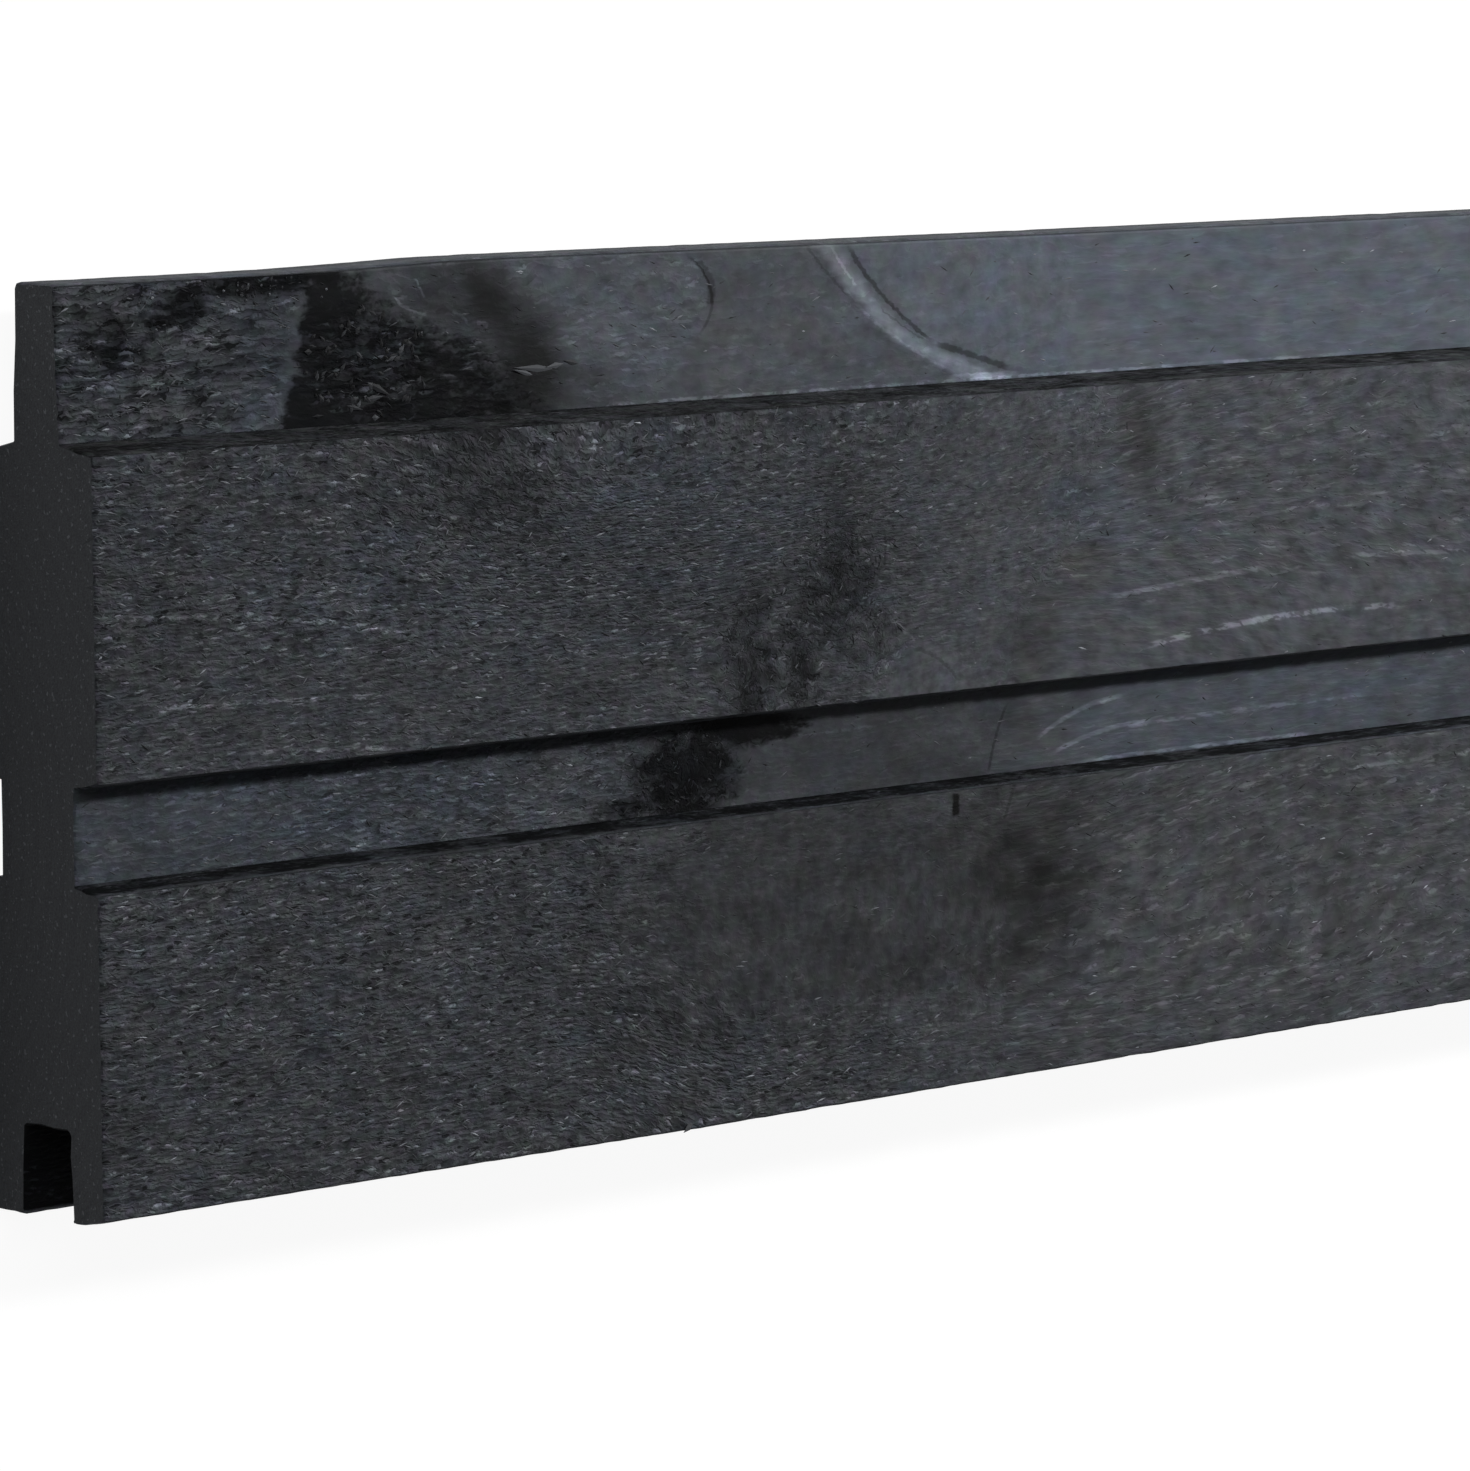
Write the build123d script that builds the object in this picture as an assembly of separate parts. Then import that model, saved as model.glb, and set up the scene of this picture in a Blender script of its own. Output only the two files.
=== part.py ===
from build123d import *
import math
import os

# Stock sizes, in millimetres
board_length = 1800.0
board_thickness = 28.0
slat_face_width = 50.5

# Moulded channel between the two slats, and the relief planed into the back behind it
channel_floor_width = 14.7
channel_depth = 5.8
relief_depth = 3.6

# Slope of the slats' edges, and the steeper fall of the shoulder behind the tongue
bevel_angle = 10.0
back_shoulder_angle = 15.0

# Tongue along the upper edge
tongue_height = 24.4
tongue_root_thickness = 12.0
tongue_tip_thickness = 9.8
tongue_front_step = 8.0

# How the tongue of the next board sits in the groove
tongue_engagement = 10.7
groove_side_clearance = 0.65
groove_end_gap = 3.6

# Edge roundings; the two outer edges of the back are left sharp from the planer
tongue_tip_radius = 1.1
leg_radius = 0.9
arris_radius = 0.4
groove_corner_radius = 0.6

# Slopes
bevel_run = math.tan(math.radians(bevel_angle))
back_shoulder_run = math.tan(math.radians(back_shoulder_angle))
tongue_slope = (tongue_root_thickness - tongue_tip_thickness) / 2 / tongue_height

# Heights through the thickness, measured up from the back
tongue_front = board_thickness - tongue_front_step
tongue_back = tongue_front - tongue_root_thickness
tongue_middle = (tongue_front + tongue_back) / 2
channel_floor = board_thickness - channel_depth

# Groove, sized from the tongue that slides into it
groove_depth = tongue_engagement + groove_end_gap
groove_mouth = tongue_tip_thickness + 2 * tongue_slope * tongue_engagement + 2 * groove_side_clearance
groove_top = groove_mouth - 2 * tongue_slope * groove_depth
mouth_front = tongue_middle + groove_mouth / 2
mouth_back = tongue_middle - groove_mouth / 2
groove_front = tongue_middle + groove_top / 2
groove_back = tongue_middle - groove_top / 2

# Positions across the width, measured up from the tips of the groove's legs
lower_slat_foot = (board_thickness - mouth_front) * bevel_run
lower_slat_head = lower_slat_foot + slat_face_width
floor_foot = lower_slat_head + channel_depth * bevel_run
floor_head = floor_foot + channel_floor_width
upper_slat_foot = floor_head + channel_depth * bevel_run
upper_slat_head = upper_slat_foot + slat_face_width
tongue_root = upper_slat_head + tongue_front_step * bevel_run
tongue_tip = tongue_root + tongue_height
back_shoulder = tongue_root - tongue_back * back_shoulder_run
relief_foot = floor_foot - relief_depth * bevel_run
relief_head = floor_head + relief_depth * bevel_run

# Outline of the section: place across the width, place through the thickness, corner radius
outline = [
    (0, 0, 0),
    (relief_foot, 0, arris_radius),
    (floor_foot, relief_depth, 0),
    (floor_head, relief_depth, 0),
    (relief_head, 0, arris_radius),
    (back_shoulder, 0, 0),
    (tongue_root, tongue_back, 0),
    (tongue_tip, tongue_middle - tongue_tip_thickness / 2, tongue_tip_radius),
    (tongue_tip, tongue_middle + tongue_tip_thickness / 2, tongue_tip_radius),
    (tongue_root, tongue_front, 0),
    (upper_slat_head, board_thickness, arris_radius),
    (upper_slat_foot, board_thickness, arris_radius),
    (floor_head, channel_floor, 0),
    (floor_foot, channel_floor, 0),
    (lower_slat_head, board_thickness, arris_radius),
    (lower_slat_foot, board_thickness, arris_radius),
    (0, mouth_front, leg_radius),
    (groove_depth, groove_front, groove_corner_radius),
    (groove_depth, groove_back, groove_corner_radius),
    (0, mouth_back, leg_radius),
]

# The board lies on its back, centred over the origin, with its tongue towards +Y
corners = [(across - tongue_tip / 2, through) for across, through, radius in outline]
radii = [radius for across, through, radius in outline]
with BuildPart() as board:
    with BuildSketch(Plane.YZ):
        with BuildLine():
            FilletPolyline(*corners, radius=radii, close=True)
        make_face()
    extrude(amount=board_length / 2, both=True)

os.makedirs("parts", exist_ok=True)
export_step(board.part, "parts/cladding_board.step")
print("section", round(tongue_tip, 2), "wide; groove", round(groove_mouth, 2), "to", round(groove_top, 2))
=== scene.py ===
import math
from collections import namedtuple
import bpy
import numpy as np
from mathutils import Matrix, Vector
from mathutils.geometry import delaunay_2d_cdt


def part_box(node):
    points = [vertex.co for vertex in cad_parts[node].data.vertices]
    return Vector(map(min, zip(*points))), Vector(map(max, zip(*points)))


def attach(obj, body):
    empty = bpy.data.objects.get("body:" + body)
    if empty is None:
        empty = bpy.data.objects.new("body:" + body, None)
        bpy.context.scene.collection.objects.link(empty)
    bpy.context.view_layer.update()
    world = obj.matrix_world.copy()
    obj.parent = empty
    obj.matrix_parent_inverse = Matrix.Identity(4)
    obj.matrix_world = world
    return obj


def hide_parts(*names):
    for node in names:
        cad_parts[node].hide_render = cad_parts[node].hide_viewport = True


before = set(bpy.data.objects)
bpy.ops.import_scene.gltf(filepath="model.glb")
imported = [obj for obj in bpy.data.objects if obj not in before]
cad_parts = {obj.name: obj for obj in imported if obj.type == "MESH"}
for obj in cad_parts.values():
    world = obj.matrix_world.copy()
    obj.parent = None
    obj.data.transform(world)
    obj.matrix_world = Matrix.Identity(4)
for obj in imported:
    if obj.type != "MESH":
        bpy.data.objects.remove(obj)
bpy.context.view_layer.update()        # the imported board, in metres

boardNode = "cladding_board"
boardLow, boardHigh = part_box(boardNode)
mm = 0.001
boardLength = (boardHigh.x - boardLow.x) / mm
boardWidth = (boardHigh.y - boardLow.y) / mm
boardMiddle = boardWidth / 2
print("frame loaded, board", round(boardLength), "mm long")


# Shader expressions: a Wire is one socket with arithmetic, a Finish is one material's node tree
class Wire:
    def __init__(self, finish, socket):
        self.finish = finish
        self.socket = socket

    def maths(self, operation, *rest, flip=False):
        values = [*rest, self] if flip else [self, *rest]
        return self.finish.node("ShaderNodeMath", {"operation": operation}, dict(enumerate(values)))

    def beside(self, out):                       # another output of the same node
        return Wire(self.finish, self.socket.node.outputs[out])

    def __add__(self, other):
        return self.maths("ADD", other)

    def __sub__(self, other):
        return self.maths("SUBTRACT", other)

    def __rsub__(self, other):
        return self.maths("SUBTRACT", other, flip=True)

    def __mul__(self, other):
        return self.maths("MULTIPLY", other)

    def __truediv__(self, other):
        return self.maths("DIVIDE", other)

    def __pow__(self, other):
        return self.maths("POWER", other)

    def __abs__(self):
        return self.maths("ABSOLUTE")

    def atLeast(self, other):
        return self.maths("MAXIMUM", other)

    __radd__ = __add__
    __rmul__ = __mul__


class Finish:
    def __init__(self, tree):
        self.tree = tree

    def node(self, kind, settings, sockets, out=0):
        made = self.tree.nodes.new(kind)
        for name, value in settings.items():
            setattr(made, name, value)
        for key, value in sockets.items():
            if isinstance(value, Wire):
                self.tree.links.new(value.socket, made.inputs[key])
            else:
                made.inputs[key].default_value = value
        return Wire(self, made.outputs[out]) if len(made.outputs) else None

    def named(self, name, out="Vector"):         # a value kept on the mesh's points
        return self.node("ShaderNodeAttribute", {"attribute_name": name}, {}, out)

    def split(self, vector):
        parts = self.node("ShaderNodeSeparateXYZ", {}, {0: vector})
        return [parts.beside(axis) for axis in range(3)]

    def join(self, x, y, z):
        return self.node("ShaderNodeCombineXYZ", {}, {0: x, 1: y, 2: z})

    def noise(self, along, across, detail=2.0, roughness=0.55, out=0):
        place = self.join(along, across, 0.0)
        return self.node("ShaderNodeTexNoise", {"noise_dimensions": "2D", "normalize": True}, {
            "Vector": place, "Scale": 1.0, "Detail": detail, "Roughness": roughness}, out)

    def cells(self, along, across):              # how far from a cell's middle, and two numbers of its own
        away = self.node("ShaderNodeTexVoronoi", {"voronoi_dimensions": "2D", "feature": "F1"}, {
            "Vector": self.join(along, across, 0.0), "Scale": 1.0})
        return away, *self.split(away.beside("Color"))[:2]

    def ease(self, value, low, high):            # 0 at low, 1 at high, smooth between
        return self.node("ShaderNodeMapRange", {"interpolation_type": "SMOOTHSTEP", "clamp": True}, {
            "Value": value, "From Min": low, "From Max": high})

    def blend(self, amount, first, second, how="MIX"):
        settings = {"data_type": "RGBA", "blend_type": how, "clamp_factor": True}
        return self.node("ShaderNodeMix", settings, {0: amount, 6: first, 7: second}, 2)

    def scaled(self, colour, red, green, blue):  # a colour with each part made darker or brighter
        amount = self.node("ShaderNodeCombineColor", {}, {0: red, 1: green, 2: blue})
        return self.blend(1.0, colour, amount, "MULTIPLY")

    def bump(self, height, distance):
        return self.node("ShaderNodeBump", {}, {"Height": height, "Distance": distance, "Strength": 1.0})


def newFinish(name):
    material = bpy.data.materials.new(name)
    material.use_nodes = True
    material.node_tree.nodes.clear()
    return material, Finish(material.node_tree)


def toOutput(finish, shader):
    finish.node("ShaderNodeOutputMaterial", {}, {"Surface": shader})


def tinted(colour, tint):
    return tuple(part * share for part, share in zip(colour, tint))


def placed(name, data):                          # an object in the scene
    made = bpy.data.objects.new(name, data)
    bpy.context.scene.collection.objects.link(made)
    return made


def keepOnPoints(mesh, name, kind, values):      # for the finish to read
    field = {"FLOAT_VECTOR": "vector", "FLOAT_COLOR": "color"}[kind]
    kept = mesh.attributes.new(name, kind, "POINT")
    kept.data.foreach_set(field, values.astype(np.float32).ravel())


# Numbers over many places at once
def easeOf(low, high, x):
    t = np.clip((x - low) / (high - low), 0, 1)
    return t * t * (3 - 2 * t)


def spanOf(rise, fall, x):                       # eases in over one stretch and out over the other
    return easeOf(*rise, x) * (1 - easeOf(*fall, x))


def bellOf(middle, wide, x):
    return np.exp(-((x - middle) / wide) ** 2)


def lumps(u, v, seed):                           # smooth noise, one lump per unit, about -1 to 1
    size = 128
    lean = np.random.default_rng(seed).uniform(0, 2 * math.pi, (size, size))
    u, v = np.broadcast_arrays(u, v)
    iu, iv = np.floor(u).astype(int), np.floor(v).astype(int)
    fu, fv = u - iu, v - iv
    corner = [[0, 0], [0, 0]]
    for du in (0, 1):
        for dv in (0, 1):
            way = lean[(iu + du) % size, (iv + dv) % size]
            corner[du][dv] = np.cos(way) * (fu - du) + np.sin(way) * (fv - dv)
    eu, ev = easeOf(0, 1, fu), easeOf(0, 1, fv)
    here = corner[0][0] * (1 - ev) + corner[0][1] * ev
    onward = corner[1][0] * (1 - ev) + corner[1][1] * ev
    return 1.6 * (here * (1 - eu) + onward * eu)


def layered(u, v, *layers):                      # lumps of several sizes: amount, length, width, seed
    return sum(amount * lumps(u / length, v / width, seed) for amount, length, width, seed in layers)


# Knots, in mm: along from the near end, across from the leg tips, half length, half width, turn in degrees,
# how dark, how soft the edge, how wide a path the grain takes round it, how loosely the path closes
Mark = namedtuple("Mark", "along across half wide turn dark soft path core")
boardMarks = {
    "tongue": [
        Mark(25.5, 140.8, 9, 2.7, 26, 0.8, 0.7, 0, 1),
        Mark(41.5, 143.6, 13, 2.3, 3, 0.82, 0.6, 0, 1),
        Mark(11, 135.2, 6.5, 4.2, -30, 0.6, 0.6, 0, 1),
        Mark(15.5, 138.0, 7, 1.4, 40, 0.55, 0.6, 0, 1),
        Mark(4, 130, 6, 5, 0, 0.3, 0.6, 0, 1)],
    "upperSlat": [
        Mark(157, 88, 9, 11, 10, 0.5, 0.9, 4, 2),
        Mark(137, 76, 6, 10, 5, 0.62, 0.8, 4, 2),
        Mark(148, 76, 6, 8, 0, 0.54, 0.8, 3, 2),
        Mark(166, 79, 5, 6, -10, 0.42, 0.9, 3, 2)],
    "channel": [
        Mark(128, 59.5, 13, 8, 12, 0.85, 0.6, 4, 2),
        Mark(140, 66, 13, 3, -4, 1.0, 0.5, 0, 1),
        Mark(119, 54.5, 12, 3, 5, 0.6, 0.6, 0, 1)],
    "lowerSlat": [Mark(119, 47.5, 5, 2.5, 0, 0.3, 0.8, 0, 1)],
    "back": [
        Mark(140, 95, 13, 10, 20, 0.7, 0.4, 5, 2),
        Mark(190, 30, 11, 8, -15, 0.65, 0.4, 4, 2)],
}

# Softer changes of tone: place and oval as above, how much lighter or darker, how soft, how brown or blue
Shade = namedtuple("Shade", "along across half wide turn change soft brown")
boardShades = {
    "tongue": [
        Shade(91, 135.5, 12, 6.5, -32, -0.62, 0.8, 0.05),
        Shade(95.6, 131, 6, 4, -12, -0.3, 0.9, 0.05),
        Shade(102, 123.5, 14, 5, 0, -0.6, 0.6, 0.1),
        Shade(80, 139, 15, 5, -12, -0.26, 0.6, 0),
        Shade(101, 142, 10, 4, 0, 0.2, 0.8, 0),
        Shade(58.5, 141.5, 3, 2, -50, 0.5, 0.7, 0),
        Shade(42, 128, 8, 12, -12, -0.14, 1.0, -0.4),
        Shade(250, 131, 16, 7, 10, -0.12, 0.6, 0)],
    "upperSlat": [
        Shade(150, 83, 22, 14, 30, -0.16, 0.7, 0),
        Shade(77, 112, 16, 9, -35, -0.34, 0.7, 0.2),
        Shade(230.5, 111, 5, 8.5, 5, -0.42, 0.7, 0.4),
        Shade(203, 77, 6, 10, -12, -0.36, 0.6, 0.3),
        Shade(215, 89, 7, 5, -30, -0.1, 0.5, 0.4),
        Shade(178, 71.2, 8, 5, -15, 0.14, 0.3, 0),
        Shade(65, 95, 40, 9, -8, 0.1, 0.6, -0.2),
        Shade(120, 105, 22, 9, -10, 0.12, 0.6, -0.3),
        Shade(218, 97, 11, 6, -15, 0.04, 0.5, -0.5)],
    "lowerSlat": [
        Shade(155, 36, 50, 22, 0, -0.39, 0.5, 0.25),
        Shade(205, 37, 12, 19, -15, -0.42, 1.0, 0.3),
        Shade(265, 28, 60, 26, 0, 0, 0.8, 0.3)],
    "channel": [Shade(172, 60, 36, 10, 0, -0.33, 0.4, 0)],
}

# Whorls of knots beyond the part that the photograph shows
farWhorls = {"places": (575, 1010, 1415, 1700), "spread": 10, "reach": 24, "step": 4.5, "seed": 12,
             "half": (7, 15), "flat": (0.5, 0.9), "turn": (-30, 30), "dark": (0.5, 0.95), "soft": 0.4,
             "path": 0.5, "core": 2,
             "across": {"tongue": (126, 142), "upperSlat": (74, 112), "channel": (56, 65),
                        "lowerSlat": (8, 46), "back": (8, 112)}}


def addFarWhorls():
    pick = np.random.default_rng(farWhorls["seed"])
    for place in farWhorls["places"]:
        for surface, span in farWhorls["across"].items():
            along = place + pick.uniform(-1, 1) * farWhorls["spread"]
            half = pick.uniform(*farWhorls["half"])
            across = pick.uniform(*span)
            wide = half * pick.uniform(*farWhorls["flat"])
            turn = pick.uniform(*farWhorls["turn"])
            dark = pick.uniform(*farWhorls["dark"])
            boardMarks[surface].append(Mark(along, across, half, wide, turn, dark, farWhorls["soft"],
                                            half * farWhorls["path"], farWhorls["core"]))


def inMark(mark, soft, u, v, seed):              # 1 inside a mark's ragged oval, 0 outside
    along, across, half, wide, turn = mark[:5]
    c, s = math.cos(math.radians(turn)), math.sin(math.radians(turn))
    du, dv = u - along, v - across
    oval = np.hypot((c * du + s * dv) / half, (c * dv - s * du) / wide)
    oval = oval + layered(u, v, (0.2, 6, 4, seed), (0.14, 2.6, 1.8, seed + 1))
    return 1 - easeOf(1 - soft, 1 + soft, oval)


# Past a line that sweeps across the board the figure is longer and wider
sweep = {"across": (0, 52, 65, 68, 83, 92, 119), "along": (196, 198.4, 203.3, 198, 202.3, 213.4, 222),
         "stretch": 0.5, "widen": 0.34, "reach": (-5, 90), "middle": {"upperSlat": 94, "lowerSlat": 27},
         "curl": 0.6, "curlReach": 7}

# Strokes lean below the tongue's knot and below the calm patch: how far in mm, and where along and across
strokeLeans = {"upperSlat": {"rise": 11, "start": (42, 108), "end": (140, 250), "middle": 110, "wide": 18},
               "lowerSlat": {"rise": 10, "start": (92, 140), "end": (190, 320), "fade": (10, 46)}}
grainPath = {"curl": 0.12, "knotEdge": 0.9, "tongueLong": 0.75, "tongueWide": 0.72,
             "wander": ((1.3, 95, 26, 5), (0.5, 31, 11, 6))}


def grainOf(surface, u, v):                      # along and across with the grain, and how much it curls
    turnAt = np.interp(v, sweep["across"], sweep["along"])
    past = u - turnAt
    along = np.where(past > 0, turnAt + past * sweep["stretch"], u + 0.0 * v)
    across = v + 0.0 * u
    if surface in sweep["middle"]:
        across = across - (v - sweep["middle"][surface]) * sweep["widen"] * easeOf(*sweep["reach"], past)
    curl = grainPath["curl"] + 0.0 * along
    for i, mark in enumerate(boardMarks.get(surface, [])):
        if mark.path:
            du, dv = u - mark.along, v - mark.across
            push = mark.path ** 2 / (du ** 2 + dv ** 2 + mark.core * mark.path ** 2)
            along, across = along + du * push, across - dv * push
            curl = np.maximum(curl, inMark(mark, grainPath["knotEdge"], u, v, 90 + i))
    if surface in strokeLeans:
        lean = strokeLeans[surface]
        share = 1 - easeOf(*lean["fade"], v) if "fade" in lean else bellOf(lean["middle"], lean["wide"], v)
        across = across + lean["rise"] * spanOf(lean["start"], lean["end"], u) * share
    if surface == "upperSlat":
        curl = np.maximum(curl, 0.5 * bellOf(78, 30, u) * bellOf(110, 16, v))
        curl = np.maximum(curl, sweep["curl"] * bellOf(0, sweep["curlReach"], past))
    if surface == "tongue":                      # coarser flakes where the cutter tore it
        along, across = grainPath["tongueLong"] * along, grainPath["tongueWide"] * across
    return along, across + layered(u, v, *grainPath["wander"]), curl


# The black knot in the tongue: its sharp near side and its ragged far side, read up the tongue
tongueKnot = {"up": (120, 121.1, 124, 126, 128, 131, 133.2, 135, 137, 141.8, 146),
              "near": (43.4, 43.8, 44.5, 45.2, 46, 46.9, 47.5, 48, 48.6, 50, 51.3),
              "far": (104, 103, 101, 99, 96, 92, 88, 82, 75, 68, 65),
              "flecks": (62, 129.5, 12.5, 8, -10), "smokeLean": 0.55, "smoke": 0.16, "dark": 0.96}

# The pale oval beyond it, and where it ends
tongueOval = {"up": (120, 121.2, 124.4, 130, 132.3, 136.1, 138.9, 142.9, 146),
              "along": (120, 122.4, 127.7, 131, 134.3, 135.7, 136.4, 134.4, 129),
              "start": (98, 107), "lean": 0.3, "middle": 133, "edge": 0.9}

# The curved scar across the tongue: the pale band between its near edge and its dark far line
scar = {"up": (120, 122.2, 124.1, 125.5, 127.3, 130, 133.7, 136.3, 140.9, 146),
        "far": (214, 205.8, 198.6, 195, 188, 183.8, 178.9, 175.6, 171.4, 167.5),
        "near": (197, 191.5, 187, 183.9, 179.4, 175.3, 171.5, 168.7, 163.3, 158)}

# How much paler the tongue is by stretches along it
tonguePale = {"oval": 0.36, "band": 1.75, "within": 0.4, "beyond": 0.76, "between": 0.2, "nearEnd": 0.05}


def throughScar(u, v):                           # 0 at the scar's near edge, 1 at its far line
    near = np.interp(v, scar["up"], scar["near"])
    far = np.interp(v, scar["up"], scar["far"])
    return (u - near) / (far - near)


# Finishes by surface: plain pairs are stretches in mm, along from the near end or across from the leg tips
def tongueFinish(u, v, stain, pale, brown):
    ragged = lumps(u / 6, v / 3, 33)
    past = u - np.interp(v, tongueKnot["up"], tongueKnot["near"])
    far = np.interp(v, tongueKnot["up"], tongueKnot["far"]) + 3 * ragged + 2 * lumps(u / 2.5, v / 2, 30)
    flecks = inMark(tongueKnot["flecks"], 0.5, u, v, 34)
    lean = tongueKnot["smokeLean"]
    smoke = (1 - lumps((u - lean * v) / 9, (v + lean * u) / 2.6, 23)) * easeOf(64, 80, u)
    knot = easeOf(-1.8, 1.8, past + 1.2 * ragged + lumps(u / 3, v / 1.8, 22))
    knot = knot * (1 - easeOf(-17, 6, u - far))
    depth = tongueKnot["dark"] - 0.3 * flecks - tongueKnot["smoke"] * smoke + 0.14 * lumps(u / 5, v / 3, 24)
    stain = np.maximum(stain, knot * depth)
    torn = 1 - easeOf(-3, 1, past + ragged)
    torn = torn - 0.25 * easeOf(-17, -3, past + 2 * ragged) * torn
    torn = np.maximum(np.maximum(torn, flecks), 0.06 + 0.26 * spanOf((60, 70), (98, 108), u))
    edge, soft = np.interp(v, tongueOval["up"], tongueOval["along"]), tongueOval["edge"]
    oval = easeOf(*tongueOval["start"], u + tongueOval["lean"] * (v - tongueOval["middle"]))
    oval = oval * (1 - easeOf(-soft, soft, u - edge))
    through = throughScar(u, v)
    band = easeOf(-0.02, 0.16, through + 0.06 * ragged) * (1 - easeOf(0.45, 0.8, through + 0.1 * ragged))
    band = band * (1 - 0.45 * easeOf(136, 142, v))
    between = easeOf(132, 138, u) * (1 - easeOf(-0.1, 0.05, through)) * (1 - oval)
    torn = np.maximum(torn, 0.28 * oval + 0.12 * between)
    shares = {"oval": oval, "band": band, "within": spanOf((0, 0.1), (0.98, 1.08), through),
              "beyond": easeOf(0.98, 1.1, through), "between": between, "nearEnd": u < 43}
    for name, share in shares.items():
        pale = pale + tonguePale[name] * share
    brown = brown - 0.5 * easeOf(135, 200, u) - 0.3 * oval
    return stain, torn, pale, brown


def channelFinish(u, v, stain, pale, brown):
    torn = 0.35 + 0.36 * spanOf((15, 60), (112, 138), u) - 0.24 * easeOf(132, 142, u)
    # lighter past u 203: partly painted light from the right, partly paler wood
    pale = pale + 0.18 * easeOf(203, 235, u) + 0.1 * spanOf((50, 80), (100, 116), u)
    pale = pale - 0.2 * easeOf(65.7, 66.1, v)    # the upper slope's shadow
    brown = brown - 0.4 * (1 - easeOf(60, 110, u)) - 0.45 * easeOf(205, 230, u)
    return stain, torn, pale, brown


def upperFinish(u, v, stain, pale, brown):
    patch = inMark((178, 70.5, 9, 6, -10), 0.2, u, v, 36)
    curls = inMark((150, 83, 21, 13, 30), 0.5, u, v, 38)
    torn = 1 - 0.25 * (1 - easeOf(76, 90, v)) - 0.8 * patch
    torn = torn - 0.15 * easeOf(105, 150, u) - 0.54 * easeOf(155, 195, u)
    # lighter from u 150 to 235: partly painted light from the right, partly paler wood
    pale = pale + 0.27 * easeOf(150, 235, u) + 0.56 * lumps(u / 4.2, v / 2.3, 35) * curls
    return stain, torn, pale, brown


def lowerFinish(u, v, stain, pale, brown):
    calm = inMark((160, 37, 48, 21, 0), 0.35, u, v, 37)
    torn = 1 - 0.85 * calm - 0.62 * easeOf(150, 190, u) * (1 - calm)
    # a little lighter past u 205: partly painted light from the right, partly paler wood
    return stain, torn, pale + 0.08 * easeOf(205, 250, u), brown


faceFinishes = {"tongue": tongueFinish, "channel": channelFinish,
                "upperSlat": upperFinish, "lowerSlat": lowerFinish}
boardTone = {"pale": ((0.22, 9, 6.5, 31), (0.14, 22, 9, 32)), "brown": ((0.3, 13, 8, 27), (0.4, 5, 3.5, 28)),
             "mottle": (0.45, 3.4, 2.6, 25)}


def finishOf(surface, u, v):                     # stain, torn grain, lighter or darker, brown or blue
    pale = layered(u, v, *boardTone["pale"])
    brown = layered(u, v, *boardTone["brown"])
    stain, torn = np.zeros(pale.shape), np.zeros(pale.shape)
    for i, mark in enumerate(boardMarks.get(surface, [])):
        stain = np.maximum(stain, mark.dark * inMark(mark, mark.soft, u, v, 40 + i))
    stain = stain * (1 + layered(u, v, boardTone["mottle"]))
    for i, shade in enumerate(boardShades.get(surface, [])):
        amount = inMark(shade, shade.soft, u, v, 140 + i)
        pale = pale + shade.change * amount
        brown = brown + shade.brown * amount
    if surface in faceFinishes:
        stain, torn, pale, brown = faceFinishes[surface](u, v, stain, pale, brown)
    return stain, np.clip(torn, 0, 1), pale, brown


relief = {"fibre": 0.10, "bundle": 0.05, "tear": 0.22, "ripple": 0.03, "knot": 0.25, "scar": 0.16}    # mm


def reliefOf(surface, u, v, along, across, stain, torn):       # how far the surface stands up, in mm
    ripple = relief["ripple"] * lumps(along / 42, across / 7, 51)
    if surface in ("upperSlat", "lowerSlat"):
        fibre = relief["fibre"] * lumps(along / 5, across / 1.5, 52) * (0.25 + 0.75 * torn)
        bundle = relief["bundle"] * lumps(along / 16, across / 3.6, 53)
        tears = relief["tear"] * easeOf(0.45, 0.9, lumps(along / 4, across / 1.8, 54)) * torn
        return ripple + fibre + bundle - tears - 0.3 * relief["knot"] * stain
    tears = relief["tear"] * easeOf(0.2, 0.8, lumps(along / 4, across / 1.7, 55)) * torn
    up = ripple - tears - relief["knot"] * stain * easeOf(-0.6, 0.6, lumps(u / 3.5, v / 3, 56))
    if surface == "tongue":
        through = throughScar(u, v)
        up = up + relief["scar"] * (bellOf(0.3, 0.3, through) - 1.2 * bellOf(1, 0.1, through))
    return up


# Edge stain with painted shade by recess and facing: darkest inside the groove and on the slats' upper slopes
edgeStainAndShade = {"groove": 0.97, "shoulder": 0.56, "channelFoot": 0.7, "channelHead": 0.5,
              "under": 0.3, "rest": 0.12}
edgeLook = {"mottle": ((0.35, 11, 3, 39), (0.2, 3, 1, 29)), "most": 0.98, "torn": 0.35, "warm": 0.35,
            "facing": 0.3, "footFade": 0.8, "tipHighlight": 0.3}

# Painted highlights on edges: how much, and the stretch along the board where it comes in
paintedEdgeHighlights = {"tip": (0.3, 40, 250), "shoulder": (0.3, 130, 210), "foot": (0.6, 215, 255)}

# Places on the section, in mm: across from the leg tips or, where it says high, up from the back
sectionPlaces = {"groove": 16, "grooveHigh": (8, 20), "grooveHalf": 7, "frontHigh": 19, "channelFoot": 52.4,
                 "channelHigh": 21, "footHigh": (26.2, 27.4), "shoulder": 119, "shoulderHigh": 20,
                 "tip": 143.6, "tipHigh": 14, "tipStray": (136, 143), "legStray": (4, 1)}


# painted shade, picked by recess and by which way each side faces; a little stain on the rest
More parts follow.
